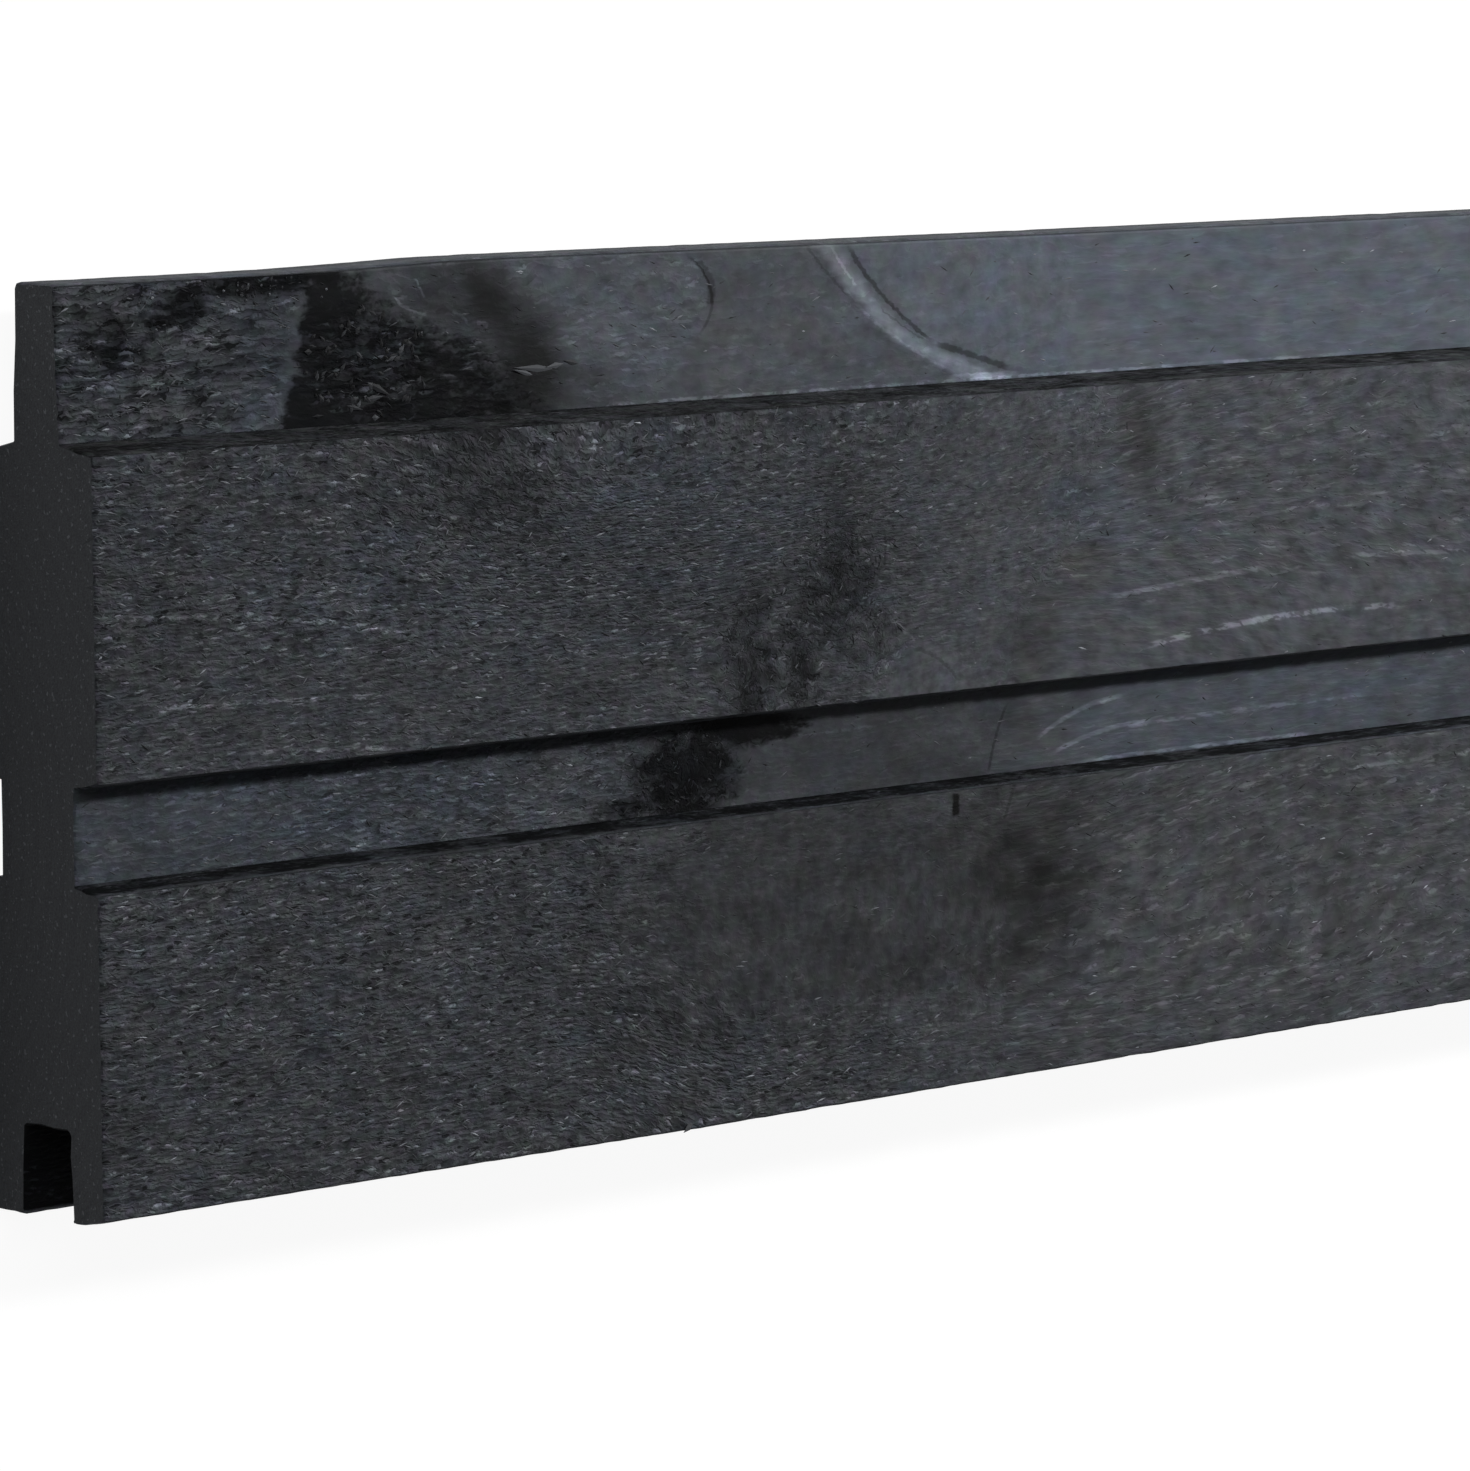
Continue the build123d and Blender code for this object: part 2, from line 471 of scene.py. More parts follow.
def edgeStainAndShadeOf(point, normal):
    v, z = point
    low, high = sectionPlaces["grooveHigh"]
    if v < sectionPlaces["groove"] and low < z < high:
        return edgeStainAndShade["groove"]
    if z < sectionPlaces["frontHigh"] or abs(normal[0]) <= edgeLook["facing"]:
        return edgeStainAndShade["rest"]
    if normal[0] < 0:
        return edgeStainAndShade["channelHead" if v > sectionPlaces["channelFoot"] else "under"]
    if v > boardMiddle:
        return edgeStainAndShade["shoulder"]
    return edgeStainAndShade["channelFoot"] * (1 - edgeLook["footFade"] * easeOf(*sectionPlaces["footHigh"], z))


def edgeFinish(points, normals, look, u, v):     # painted shade and stain on the edges, painted highlights on the tongue's tip, shoulder and channel foot
    across, height = points.T
    stainAndShade = np.array([edgeStainAndShadeOf(p, n) for p, n in zip(points, normals)])
    stainAndShade = np.clip(stainAndShade * (1 + layered(u, v, *edgeLook["mottle"])), 0, edgeLook["most"])
    shoulder = (across > sectionPlaces["shoulder"]) & (height > sectionPlaces["shoulderHigh"])
    tip = (across > sectionPlaces["tip"]) & (height > sectionPlaces["tipHigh"])
    foot = (np.abs(across - sectionPlaces["channelFoot"]) < 0.7) & (height > sectionPlaces["channelHigh"])
    paintedHighlight = edgeLook["tipHighlight"] * tip
    for name, edge in (("tip", tip), ("shoulder", shoulder), ("foot", foot)):
        bright, start, full = paintedEdgeHighlights[name]
        paintedHighlight = paintedHighlight + bright * edge * easeOf(start, full, u)
    stain, torn, pale, brown = look
    return stainAndShade + 0 * stain, edgeLook["torn"] + torn, pale + paintedHighlight, brown + edgeLook["warm"] * shoulder


# The board's own outline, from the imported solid's near end
outlineLook = {"fine": 0.78, "edge": 1.5, "hidden": 7.0, "seam": 0.05, "merge": 0.3, "corner": 25.0,
               "arris": 0.12, "slat": 40.0, "rounding": 2.0, "flat": 0.9, "level": 0.2}


def readSection():
    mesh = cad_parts[boardNode].data
    spot = [(round((p.co.y - boardLow.y) / mm, 3), round((p.co.z - boardLow.z) / mm, 3))
            for p in mesh.vertices]
    sides = set()
    for face in mesh.polygons:
        if face.center.x < boardLow.x + mm:
            ring = [spot[i] for i in face.vertices]
            for pair in zip(ring, ring[1:] + ring[:1]):
                if pair[::-1] in sides:
                    sides.remove(pair[::-1])     # a side shared by two triangles is inside
                else:
                    sides.add(pair)
    onward = dict(sides)
    walk = [min(onward)]
    while onward[walk[-1]] != walk[0]:
        walk.append(onward[walk[-1]])
    loop = np.array(walk)
    turned = np.roll(loop, -1, 0)
    if np.sum(loop[:, 0] * turned[:, 1] - turned[:, 0] * loop[:, 1]) < 0:
        loop = loop[::-1]
    kept = [loop[0]]                             # leaves out points closer than a mesh step, but no corner
    for i in range(1, len(loop)):
        before, after = loop[i] - kept[-1], loop[(i + 1) % len(loop)] - loop[i]
        turn = abs(math.degrees(math.atan2(before[0] * after[1] - before[1] * after[0], before @ after)))
        if np.hypot(*before) > outlineLook["merge"] or turn > outlineLook["corner"]:
            kept.append(loop[i])
    return crispArrises(np.array(kept))


def crispArrises(loop):                          # the slats' edges end in a small flat, as cut
    top, small = loop[:, 1].max(), outlineLook["arris"]
    count = len(loop)
    swaps = {}
    for i in range(count):
        j = (i + 1) % count
        if min(loop[i, 1], loop[j, 1]) < top - 0.01 or abs(loop[i, 0] - loop[j, 0]) < outlineLook["slat"]:
            continue
        for first, step in ((j, 1), (i, -1)):
            last, chain = first, [first]
            while np.hypot(*(loop[(last + step) % count] - loop[last])) < outlineLook["rounding"]:
                last = (last + step) % count
                chain.append(last)
            down = loop[(last + step) % count] - loop[last]
            corner = loop[last] + down * (top - loop[last, 1]) / down[1]
            inward = np.sign(loop[i if step > 0 else j, 0] - corner[0]) * np.array([small, 0])
            ends = [corner + inward, corner + down / np.hypot(*down) * small]
            for k in chain:
                swaps[k] = []
            swaps[first] = ends[::step]
    return np.array([p for k in range(count) for p in swaps.get(k, [loop[k]])])


def surfaceOf(middle, normal, top):
    v, z = middle
    upper = v > boardMiddle
    if normal[1] > outlineLook["flat"]:
        if z > top - outlineLook["level"]:
            return "upperSlat" if upper else "lowerSlat"
        return "tongue" if upper else "channel"
    return "back" if normal[1] < -outlineLook["flat"] else "edge"


def dividedSection(loop):                        # points, outward normals and the surface of each side
    top = loop[:, 1].max()
    points, surfaces = [], []
    for start, end in zip(loop, np.roll(loop, -1, 0)):
        run, middle = end - start, (start + end) / 2
        length = np.hypot(*run)
        surface = surfaceOf(middle, np.array([run[1], -run[0]]) / length, top)
        step = {"edge": outlineLook["edge"], "back": outlineLook["hidden"]}.get(surface, outlineLook["fine"])
        nearest = start[0] if surface == "edge" else min(start[0], end[0])
        if nearest < sectionPlaces["groove"] and abs(middle[1] - top / 2) < sectionPlaces["grooveHalf"]:
            surface, step = "edge", outlineLook["hidden"] / 2
        pieces = max(1, round(length / step))
        cuts = [k / pieces for k in range(pieces)]
        if pieces > 2:                           # a narrow strip keeps one surface's stain off the next
            seam = outlineLook["seam"] / length
            cuts = [0, seam, *cuts[1:], 1 - seam]
        for cut in cuts:
            points.append(start + run * cut)
            surfaces.append(surface)
    points = np.array(points)
    runs = np.roll(points, -1, 0) - points
    outward = np.stack([runs[:, 1], -runs[:, 0]], 1) / np.hypot(*runs.T)[:, None]
    normals = outward + np.roll(outward, 1, 0)
    normals /= np.hypot(*normals.T)[:, None]
    return points, normals, surfaces


# How far the tongue's tip and the front leg stray from a straight edge, in mm, read along the board
edgeStray = {"along": (0, 30, 48, 62, 78, 92, 125, 160, 210, 330, 430),
             "tip": (0, 0.02, 0.12, 0.4, 0.86, 0.95, 0.78, 0.6, 0.42, 0.16, 0),
             "leg": (0.2, 0.26, 0.3, 0.34, 0.4, 0.44, 0.56, 0.44, 0.3, 0.1, 0)}

boardShape = {"nearStep": 2.0, "nearReach": 336.0, "farStep": 20.0, "growth": 1.25, "endSteps": (0.3, 0.9),
              "endWear": 0.35, "arrisWear": 0.4, "arrisFray": 0.05, "sawRagged": 0.45, "capStep": 2.6,
              "capStray": 0.35, "capSunk": 0.16, "capDents": ((0.12, 4, 3, 72), (0.1, 1.5, 9, 73)),
              "capSeed": 71, "apart": 400, "sharpAngle": 22}


def stationsAlong():                             # close together where the grain is read near at hand
    first, second = boardShape["endSteps"]
    places, step = [0.0, first, second], boardShape["nearStep"]
    while places[-1] < boardLength - 1.5 * step:
        if places[-1] > boardShape["nearReach"]:
            step = min(step * boardShape["growth"], boardShape["farStep"])
            if min(abs(places[-1] - whorl) for whorl in farWhorls["places"]) < farWhorls["reach"]:
                step = farWhorls["step"]
        places.append(places[-1] + step)
    return np.array(places + [boardLength - second, boardLength - first, boardLength])


def insideLoop(points, loop):                    # even-odd count of crossings
    crossings = np.zeros(len(points), int)
    for (av, az), (bv, bz) in zip(loop, np.roll(loop, -1, 0)):
        spans = (az > points[:, 1]) != (bz > points[:, 1])
        with np.errstate(divide="ignore", invalid="ignore"):
            at = av + (points[:, 1] - az) / (bz - az) * (bv - av)
        crossings += spans & (points[:, 0] < at)
    return crossings % 2 == 1


def wornAway(points, slat, walked, u, fromEnd):  # what slat edges and sawn ends have lost, in mm
    lost = boardShape["endWear"] * bellOf(0, 0.35, fromEnd) * (1 + 0.6 * lumps(walked / 1.3, u, 63))
    for edge in np.flatnonzero(slat != np.roll(slat, 1)):
        near = bellOf(0, 0.5, np.hypot(*(points - points[edge]).T))
        lost = lost + boardShape["arrisWear"] * near * easeOf(0.3, 0.8, lumps(u / 4.5, edge * 1.7, 61))
        lost = lost + boardShape["arrisFray"] * near * (1 + lumps(u / 1.9, edge * 2.3, 62))
    return lost


def closeEnd(skin, first, count, end, outward, lattice):       # a sawn end, filled with small triangles
    rim = skin["places"][first:first + count, 1:]
    inner = lattice[insideLoop(lattice, rim)]
    flat = [Vector(p) for p in np.concatenate([rim, inner])]
    made = delaunay_2d_cdt(flat, [], [list(range(count))], 1, 1e-6)
    spots, triangles, sources = made[0], made[2], made[3]
    index, fresh = {}, []
    for i, found in enumerate(sources):
        if found and found[0] < count:
            index[i] = first + found[0]
        else:
            index[i] = len(skin["places"]) + len(fresh)
            fresh.append(tuple(spots[i]))
    fresh = np.array(fresh)
    dent = layered(fresh[:, 0], fresh[:, 1], *boardShape["capDents"])
    sunk = end - outward * (boardShape["capSunk"] + dent)
    rows = {"places": np.column_stack([sunk, fresh]), "finish": np.zeros((len(fresh), 4)),
            "grain": np.column_stack([fresh, np.full(len(fresh), boardShape["apart"])])}
    for name, values in rows.items():
        skin[name] = np.concatenate([skin[name], values])
    for corners in triangles:
        face = [index[i] for i in corners]
        a, b, c = (skin["places"][i] for i in face[:3])
        if np.cross(b - a, c - a)[0] * outward < 0:
            face.reverse()
        skin["faces"].append(face)
        skin["slots"].append(2)


def makeBoard(materials):
    points, normals, surfaces = dividedSection(readSection())
    stations = stationsAlong()
    count, rings = len(points), len(stations)
    walked = np.cumsum(np.hypot(*(points - np.roll(points, 1, 0)).T))
    u = stations[:, None]
    grain, finish = np.zeros((rings, count, 3)), np.zeros((rings, count, 4))
    up = np.zeros((rings, count))
    for order, surface in enumerate(sorted(set(surfaces))):
        here = np.array([s == surface for s in surfaces])
        v = (walked if surface == "edge" else points[:, 0])[None, here]
        along, across, curl = grainOf(surface, u, v)
        look = finishOf(surface, u, v)
        if surface == "edge":
            look = edgeFinish(points[here], normals[here], look, u, v)
        grain[:, here] = np.stack([along, across + boardShape["apart"] * order, curl], -1)
        finish[:, here] = np.stack(np.broadcast_arrays(*look), -1)
        up[:, here] = reliefOf(surface, u, v, along, across, look[0], look[1])
    slat = np.array(["Slat" in s for s in surfaces])
    fromEnd = np.minimum(stations, boardLength - stations)[:, None]
    up -= wornAway(points, slat, walked, u, fromEnd)
    grown = points[None] + normals[None] * up[..., None]
    tip = np.interp(stations, edgeStray["along"], edgeStray["tip"])[:, None]
    leg = np.interp(stations, edgeStray["along"], edgeStray["leg"])[:, None]
    front = points[:, 1] > sectionPlaces["frontHigh"]
    grown[..., 0] += tip * easeOf(*sectionPlaces["tipStray"], points[:, 0])
    grown[..., 0] -= leg * easeOf(*sectionPlaces["legStray"], points[:, 0]) * front
    ragged = boardShape["sawRagged"] * lumps(walked / 1.1, u * 0, 64) * bellOf(0, 2.0, fromEnd)
    x = np.clip(u + ragged, 0, boardLength) * np.ones((1, count))
    places = np.stack([x, grown[..., 0], np.clip(grown[..., 1], 0, None)], -1)
    ring, onward = np.arange(count), np.roll(np.arange(count), -1)
    starts = np.arange(rings - 1)[:, None] * count
    faces = np.stack([starts + ring, starts + count + ring, starts + count + onward, starts + onward], -1)
    slots = np.tile(np.where(slat, 0, 1), rings - 1)
    skin = {"places": places.reshape(-1, 3), "grain": grain.reshape(-1, 3), "finish": finish.reshape(-1, 4),
            "faces": faces.reshape(-1, 4).tolist(), "slots": slots.tolist()}
    step = boardShape["capStep"]
    columns, rows = np.meshgrid(np.arange(1, boardWidth, step), np.arange(1, points[:, 1].max(), step))
    lattice = np.stack([columns, rows], -1).reshape(-1, 2)
    pick = np.random.default_rng(boardShape["capSeed"])
    lattice += boardShape["capStray"] * step * pick.uniform(-1, 1, lattice.shape)
    closeEnd(skin, 0, count, 0.0, -1, lattice)
    closeEnd(skin, (rings - 1) * count, count, boardLength, 1, lattice)
    mesh = bpy.data.meshes.new("claddingBoardSkin")
    mesh.from_pydata(skin["places"] * mm + np.array(boardLow), [], skin["faces"])
    mesh.polygons.foreach_set("material_index", skin["slots"])
    mesh.polygons.foreach_set("use_smooth", [True] * len(skin["faces"]))
    keepOnPoints(mesh, "grain", "FLOAT_VECTOR", skin["grain"])
    keepOnPoints(mesh, "finish", "FLOAT_COLOR", skin["finish"])
    for material in materials:
        mesh.materials.append(material)
    mesh.update()
    mesh.set_sharp_from_angle(angle=math.radians(boardShape["sharpAngle"]))
    triangles = sum(len(face) - 2 for face in skin["faces"])
    print("board skin:", count, "points round,", rings, "stations,", triangles, "triangles")
    heights = {}
    for surface in faceFinishes:
        rows = sorted(tuple(p) for p, s in zip(points, surfaces) if s == surface)
        heights[surface] = np.array(rows).T
    return placed("claddingBoard", mesh), heights


sawnLook = {"base": (0.0427, 0.0456, 0.0515, 1), "flake": 0.62, "grit": 0.85, "cloud": 1.3, "paintedGlint": 1.7,
            "crackShadeAmount": 0.25, "smoothest": 0.1, "roughness": 0.66, "shine": 0.05, "coat": 0.0, "bump": 0.0006}
planedLook = {"base": (0.043, 0.0465, 0.053, 1), "flake": 1.0, "grit": 1.1, "cloud": 0.75, "paintedGlint": 1.7,
              "crackShadeAmount": 0.6, "smoothest": 0.06, "roughness": 0.66, "shine": 0.03, "coat": 0.1, "bump": 0.0006}
tints = {"warm": (1.06, 1.0, 0.88, 1), "cool": (0.88, 1.0, 1.14, 1), "shift": 0.5, "green": 0.3}

# Figure of both finishes: sizes as lumps per mm, and how far curls and grit throw it, in mm
figureLook = {"cloudLong": 0.42, "cloudWide": 0.58, "gritLong": 0.78, "gritWide": 1.6, "flakeLong": 0.38,
              "flakeWide": 1.5, "throwLong": 5.0, "throwWide": 3.6, "stray": 0.9, "wobble": 0.7}

# Fine lines in the wood: three points along and across, half width in mm, how much brighter or darker,
# how broken up, and whether the line runs across the board
sawnLines = [
    ((221, 82.2), (241.5, 83.7), (264, 84.9), 0.7, 1.0, 0.4, False),
    ((281, 85.7), (297, 85), (330, 84), 0.6, 0.7, 1, False),
    ((228, 72.7), (245, 74.6), (300, 75.5), 0.75, 1.5, 0.8, False),
    ((224, 98.7), (238, 98.6), (252, 97.6), 0.5, 0.6, 1, False),
    ((-1, 94.0), (36, 91.9), (67, 87.0), 0.5, 1.2, 0.7, False),
    ((9, 79.8), (35, 79.2), (60, 78.0), 0.5, 1.2, 0.7, False),
    ((28, 71.5), (45, 70.7), (62, 69.5), 0.5, 1.2, 0.6, False),
    ((116, 86.4), (121, 85.3), (126, 84.4), 0.4, 1.3, 0.4, False),
    ((173.8, 76.8), (180.5, 74.6), (185.6, 70.2), 0.5, -0.35, 0.2, False),
    ((160, 98), (160, 94), (159.8, 91), 0.35, -0.5, 0, True),
    ((167.8, 97), (167.8, 94), (167.5, 90.8), 0.35, -0.45, 0, True),
    ((168.5, 82.8), (171.5, 80.6), (175, 78.2), 0.5, 0.8, 0.3, False),
    ((198.8, 52.2), (197.6, 49), (195.8, 45.5), 0.6, -0.35, 0, True),
    ((184.4, 51.6), (184.4, 50), (184.4, 47.4), 1.1, -1.0, 0, True),
    ((240, 46), (275, 47), (330, 47), 0.5, 0.6, 1, False),
    ((224, 8), (245, 11), (290, 12), 0.5, 0.5, 1, False),
    ((232, 20), (262, 23), (320, 24), 0.5, 0.5, 1, False),
]
planedLines = [
    ((130.4, 145.2), (136.3, 138.7), (132.9, 130.9), 0.5, -0.4, 0, True),
    ((133, 144), (136.2, 140.2), (135.6, 135.6), 1.2, -0.5, 0, True),
    ((167.9, 145.2), (175.6, 136.3), (188, 127.3), 0.9, -0.72, 0.2, True),
    ((187.6, 127.5), (196.5, 125.1), (206, 122.2), 0.75, -0.6, 0, False),
    ((158.3, 145.3), (164.5, 139), (170.5, 134.3), 0.55, -0.4, 0.3, True),
    ((174.9, 134.3), (180.3, 130.7), (186, 127.9), 0.4, -0.35, 0, True),
    ((166.3, 138.4), (175, 130.9), (192, 122.4), 0.7, 0.4, 0.5, True),
    ((164, 145), (166.5, 141.5), (170, 137.6), 0.5, 0.5, 0.4, True),
    # these two: a painted highlight along the tongue's root edge
    ((93, 120.95), (200, 120.95), (300, 120.95), 0.35, 1.0, 0.75, False),
    ((190, 121.6), (199, 121.5), (209, 121.4), 0.6, 0.8, 0.3, False),
    ((209.6, 58), (218, 61.6), (232, 63.9), 0.6, 1.1, 0.3, False),
    ((213.4, 55.2), (222, 57.5), (240, 58.8), 0.6, 1.1, 0.3, False),
    ((230, 58.5), (258, 59), (296, 59.2), 0.55, 0.8, 0.6, False),
    # a painted highlight along the channel's lower edge
    ((220, 53.3), (245, 53.5), (284, 53.3), 0.4, 1.2, 0.4, False),
    ((202.8, 65.2), (199.4, 58), (198.1, 53), 0.5, -0.5, 0, True),
    ((72.2, 143.2), (73.4, 141.2), (74.2, 139.6), 0.35, 1.2, 0, True),
    ((67.5, 140.3), (71.2, 137.9), (74.8, 137.2), 0.4, 1.2, 0.2, False),
    ((78.6, 138.2), (81, 137), (83.4, 135.4), 0.5, 0.9, 0.2, False),
    ((84.9, 135.4), (86, 135.2), (87.5, 134.8), 0.5, 1.3, 0, False),
    ((20, 65), (38, 65.2), (66, 65), 0.3, 0.7, 1, False),
    ((12, 58.4), (30, 58.2), (52, 58.2), 0.3, 0.8, 0.8, False),
    ((150, 63.2), (165, 63.6), (186, 64.4), 0.35, 0.4, 0.9, False),
]


def boardPlace(f):                               # mm from the near end, from the leg tips and from the back
    x, y, z = f.split(f.node("ShaderNodeTexCoord", {}, {}, "Object"))
    return (x - boardLow.x) / mm, (y - boardLow.y) / mm, z / mm


def fineLines(f, lines, breaks, wobble):         # one plus what each line adds to or takes from the tone
    u, v, z = boardPlace(f)
    u, v = u + wobble, v + wobble
    total = 0.0
    for first, second, third, half, change, broken, steep in lines:
        run, rise = (v, u) if steep else (u, v)
        ends = sorted(point[::-1] if steep else point for point in (first, second, third))
        bend, slope, base = np.polyfit(*zip(*ends), 2).tolist()
        curve = (run * bend + slope) * run + base
        reach = (ends[2][0] - ends[0][0]) / 2
        line = f.ease(abs(rise - curve), half, half * 0.4)
        line = line * f.ease(abs(run - ends[0][0] - reach), reach, reach * 0.76)
        line = line * (breaks * (broken * change) + (1 - broken) * change) if broken else line * change
        total = line + total
    return total * f.ease(z, 17.6, 18.2) + 1     # on the front faces alone


def stainedWood(name, look, lines):
    material, f = newFinish(name)
    size = figureLook
    along, across, curl = f.split(f.named("grain"))
    # the stain channel also carries the edges' painted shade, and pale carries painted highlights and shade
    stain, torn, pale = f.split(f.named("finish"))
    brown = f.named("finish", "Alpha")
    rough = torn * (1 - look["smoothest"]) + look["smoothest"]
    sway = f.noise(along * size["cloudLong"], across * size["cloudWide"], out="Color")
    cloud, swayLong, swayWide = f.split(sway)
    along = along + (swayLong - 0.5) * (curl * size["throwLong"] + 0.5)
    across = across + (swayWide - 0.5) * (curl * size["throwWide"] + 0.3)
    grit = f.noise(along * size["gritLong"], across * size["gritWide"], roughness=0.6)
    stray = (grit - 0.5) * size["stray"]
    away, flake, choice = f.cells(along * size["flakeLong"] + stray, across * size["flakeWide"] + stray)
    # painted glints: bright specks in the colour standing in for sparkles of light, which also lift the bump
    # a little
    paintedGlints = f.ease(choice, 0.84, 0.90) * (1 - f.ease(away + stray, 0.16, 0.42)) * rough
    # painted shade in small pits, which the bump also sinks
    shadedPits = (1 - f.ease(choice, 0.09, 0.13)) * (1 - f.ease(away - stray, 0.2, 0.45)) * rough
    # painted shade in the gaps between flakes
    crackShade = f.ease(away + stray, 0.5, 0.72) * rough * look["crackShadeAmount"]
    tone = (flake - 0.5) * (1 + curl * 1.4) * look["flake"] + (grit - 0.5) * look["grit"] - crackShade
    tone = 1.03 + tone * rough + (cloud - 0.5) * look["cloud"]
    tone = tone.atLeast(0.15) * (1 - shadedPits * 0.8) * (1 + paintedGlints * look["paintedGlint"]) * (1 + pale).atLeast(0.1)
    breaks = f.ease(grit + cloud, 0.92, 1.1)
    tone = tone * fineLines(f, lines, breaks, (grit - 0.5) * size["wobble"]).atLeast(0.02)
    # knot stain, and the painted shade of the edges
    stainAndEdgeShade = f.ease(stain + stray * 0.6 + (flake - 0.5) * (0.1 + rough * 0.4), 0.2, 0.8)
    tone = tone * (1 - stainAndEdgeShade * (0.93 - paintedGlints * 0.32))
    warmth = brown + (swayLong - 0.5) * tints["shift"]
    colour = f.blend(warmth, look["base"], tinted(look["base"], tints["warm"]))
    colour = f.blend(0 - warmth, colour, tinted(look["base"], tints["cool"]))
    green = (swayWide - 0.5) * tints["green"]
    outer = tone * (1 - green * 0.5)             # red and blue
    colour = f.scaled(colour, outer, tone * (1 + green), outer)
    dome = 1 - f.ease(away, 0.0, 0.8)
    height = (dome * (flake * 0.5 + 0.2) + grit * 0.5 + paintedGlints * 0.2 - shadedPits * 0.4) * rough
    toOutput(f, f.node("ShaderNodeBsdfPrincipled", {}, {
        "Base Color": colour, "Roughness": look["roughness"] + rough * 0.12,
        "Specular IOR Level": look["shine"], "Normal": f.bump(height, look["bump"]),
        "Coat Weight": (1 - stainAndEdgeShade) * (1 - rough) * look["coat"], "Coat Roughness": 0.5}))
    return material


endLook = {"early": (0.040, 0.042, 0.0455, 1), "late": (0.036, 0.038, 0.0415, 1), "pith": (62.0, -38.0),
           "ring": 3.4, "roughness": 0.7, "shine": 0.04, "bump": 0.0003}


def endFinish():
    material, f = newFinish("sawnEnd")
    across, through = boardPlace(f)[1:]
    wave = f.noise(across * 0.06, through * 0.06) * 5.0
    across, through = across - endLook["pith"][0] + wave, through - endLook["pith"][1]
    reach = (across * across + through * through) ** 0.5
    rings = f.ease((reach / endLook["ring"]).maths("FRACT"), 0.45, 0.98)
    pores = f.noise(across * 2.6, through * 2.6, 2.0, 0.7)
    saw = f.noise(across * 0.5 + 90, through * 5.0)
    specks = f.ease(f.noise(across * 1.3 + 40, through * 1.3, 1.0), 0.68, 0.76)
    tone = 0.4 + pores * 1.05 + saw * 0.4 + specks * 1.3
    colour = f.scaled(f.blend(rings * 0.7, endLook["early"], endLook["late"]), tone, tone, tone)
    height = pores * 0.5 + saw * 0.4 - rings * 0.15
    toOutput(f, f.node("ShaderNodeBsdfPrincipled", {}, {
        "Base Color": colour, "Roughness": endLook["roughness"], "Specular IOR Level": endLook["shine"],
        "Normal": f.bump(height, endLook["bump"])}))
    return material


# Loose fibres that the saw lifted: slivers lying along the grain, one end free
fibreLook = {"near": 13000, "far": 3000, "reach": 345.0, "length": (0.7, 2.8), "width": (0.16, 0.38),
             "lift": (0.04, 0.24), "sunk": 0.05, "stray": 12.0, "curlStray": 55, "seed": 81, "thickest": 0.16,
             "base": (0.056, 0.059, 0.065, 1), "shine": 0.08}
fibreSpans = {"upperSlat": (69.0, 118.8), "lowerSlat": (1.8, 51.6),
              "tongue": (121.4, 143.6), "channel": (53.4, 67.0)}

# Larger chips that stand up: surface, place, length, width, turn in degrees, lift in mm, how bright
boardChips = [
    ("tongue", 97.4, 127.5, 9.5, 1.25, 176, 0.3, 1.0),
    # this chip is painted 2.2 times as bright: a painted highlight on the big chip's lit lower edge
    ("tongue", 94.8, 126.9, 5.4, 0.8, 166, 0.4, 2.2),
    ("tongue", 101.4, 127.8, 4.4, 1.0, 186, 0.25, 1.2),
    ("tongue", 105.2, 128.1, 3.8, 1.0, 168, 0.2, 1.1),
    ("tongue", 63.6, 126.0, 4.8, 1.2, -28, 0.4, 0.6),
    ("tongue", 62.6, 124.4, 4.2, 1.0, 8, 0.3, 0.6),
    ("tongue", 58.5, 123.2, 3.2, 0.8, -15, 0.4, 0.8),
    ("tongue", 56.5, 129.5, 1.8, 0.8, 60, 0.4, 0.7),
    ("tongue", 66.8, 130.5, 2.0, 0.7, 30, 0.4, 0.8),
    ("tongue", 60.0, 131.5, 1.6, 0.7, -50, 0.4, 0.7),
    ("tongue", 69.5, 126.0, 1.8, 0.7, 15, 0.4, 0.8),
    ("lowerSlat", 122.0, 1.5, 3.2, 1.1, 205, 0.5, 1.0),
    ("upperSlat", 171.0, 81.0, 3.0, 0.7, -38, 0.4, 1.3),
    ("tongue", 51.0, 122.2, 2.2, 0.6, 5, 0.4, 0.7),
]

# Torn flecks in the knots: surface, middle, half length, half width, how many, longest, widest, how bright,
# and whether they run round the knot
knotFlecks = [
    ("tongue", 62, 130, 13, 9, 230, 2.4, 1.1, 0.38, False),
    ("tongue", 36, 142, 19, 3, 150, 1.2, 0.6, 0.9, False),
    ("tongue", 14, 133, 14, 11, 220, 1.2, 0.55, 0.9, False),
    ("upperSlat", 154, 89, 15, 13, 200, 1.7, 0.6, 1.0, True),
    ("upperSlat", 139, 79, 10, 10, 150, 1.6, 0.6, 0.9, True),
    ("channel", 127, 60, 14, 6.5, 90, 1.6, 0.6, 0.4, True),
]


def fibreFinish():
    material, f = newFinish("looseFibre")
    along, across, shade = f.split(f.named("grain"))
    tone = (f.noise(along * 0.9, across * 1.6, 1.0) * 2.4 - 0.35).atLeast(0.15) * shade
    toOutput(f, f.node("ShaderNodeBsdfPrincipled", {}, {
        "Base Color": f.scaled(fibreLook["base"], tone, tone, tone), "Roughness": 0.6 + shade * 0.02,
        "Specular IOR Level": fibreLook["shine"]}))
    return material


